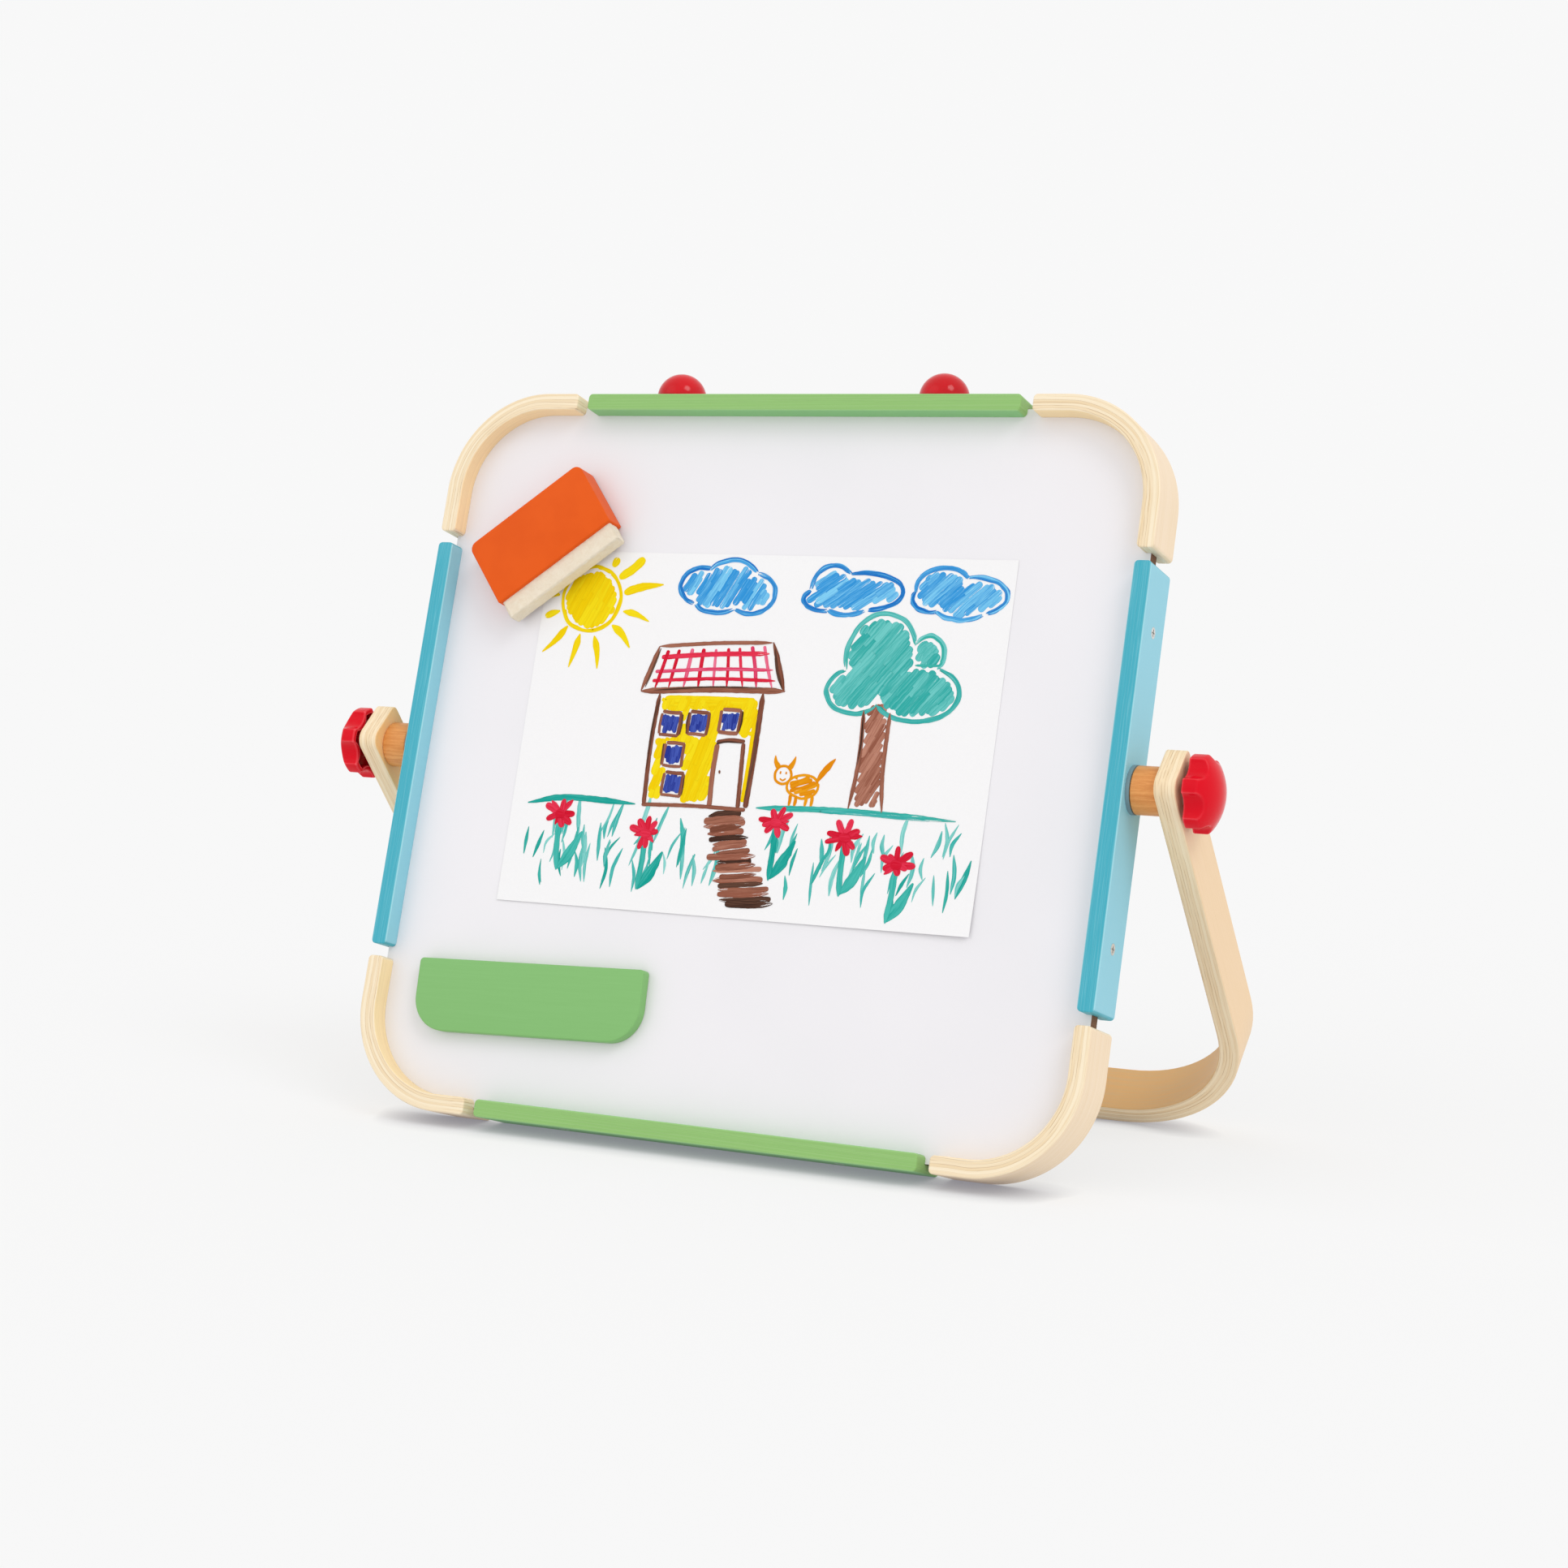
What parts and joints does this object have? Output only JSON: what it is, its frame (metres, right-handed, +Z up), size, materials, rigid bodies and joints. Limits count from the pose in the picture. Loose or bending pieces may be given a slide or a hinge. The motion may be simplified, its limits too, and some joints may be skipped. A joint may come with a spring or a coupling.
{
  "type": "tabletop easel",
  "caption": "Child's tabletop easel: white magnetic board in a grooved wood frame, chalkboard behind, on a bent-wood U stand that turns on two side hand knobs.",
  "frame": {"origin": "on the floor, under the middle of the resting easel's bounding box", "axes": "+Z up; +X to the right as seen from the white side, along both pivots; -Y is the side the white face looks to"},
  "size_m": [0.55, 0.2554, 0.4343],
  "materials": {
    "green_paint": "satin paint over plywood",
    "blue_paint": "satin paint over plywood",
    "maple_ply": "clear satin varnish, laminated edges",
    "beech": "clear satin varnish",
    "white_enamel": "gloss dry-wipe enamel",
    "chalk_black": "matt chalkboard coating",
    "hardboard": "raw pressed fibre",
    "knob_red": "moulded gloss",
    "ball_red": "gloss paint",
    "screw_steel": "zinc plated",
    "washer_grey": "moulded, matt",
    "brass": "machined",
    "eraser_orange": "satin moulded",
    "felt": "pressed wool felt",
    "magnet": "flexible magnet",
    "paper": "uncoated sheet with paint"
  },
  "bodies": {
    "board": {"board_core": "hardboard", "whiteboard_sheet": "white_enamel", "chalkboard_sheet": "chalk_black", "top_rail": "green_paint", "bottom_rail": "green_paint", "left_rail": "blue_paint", "right_rail": "blue_paint", "corner_top_left": "maple_ply", "corner_top_right": "maple_ply", "corner_bottom_left": "maple_ply", "corner_bottom_right": "maple_ply", "left_rail_screws": "screw_steel", "right_rail_screws": "screw_steel", "bottom_rail_screws": "screw_steel", "ball_knob_screws": "screw_steel", "ball_knob_left": "ball_red", "ball_knob_right": "ball_red", "friction_washer_left": "washer_grey", "friction_washer_right": "washer_grey", "pivot_bolt_left": "screw_steel", "pivot_bolt_right": "screw_steel"},
    "stand": {"stand_bow": "maple_ply", "spacer_left": "beech", "spacer_right": "beech", "knob_washer_left": "screw_steel", "knob_washer_right": "screw_steel"},
    "knob_left": {"knob_left": "knob_red", "knob_insert_left": "brass"},
    "knob_right": {"knob_right": "knob_red", "knob_insert_right": "brass"},
    "eraser": {"eraser_body": "eraser_orange", "eraser_felt": "felt", "eraser_magnet": "magnet"},
    "holder": {"holder_bar": "green_paint", "holder_magnets": "magnet"},
    "paper": {"paper_sheet": "paper"}
  },
  "joints": [
    {"name": "stand_swing", "type": "hinge", "parent": "board", "child": "stand", "pos_m": [0, -0.05288, 0.21102], "axis": [1, 0, 0], "continuous": true},
    {"name": "knob_left_turn", "type": "hinge", "parent": "board", "child": "knob_left", "pos_m": [0, -0.05288, 0.21102], "axis": [-1, 0, 0], "range_deg": [0, 360]},
    {"name": "knob_right_turn", "type": "hinge", "parent": "board", "child": "knob_right", "pos_m": [0, -0.05288, 0.21102], "axis": [1, 0, 0], "range_deg": [0, 360]},
    {"name": "eraser_lift", "type": "slide", "parent": "board", "child": "eraser", "axis": [0, -0.9613, 0.2754], "range_m": [0, 0.1]},
    {"name": "holder_lift", "type": "slide", "parent": "board", "child": "holder", "axis": [0, -0.9613, 0.2754], "range_m": [0, 0.1]},
    {"name": "paper_draw", "type": "slide", "parent": "board", "child": "paper", "axis": [1, 0, 0], "range_m": [0, 0.06]}
  ]
}
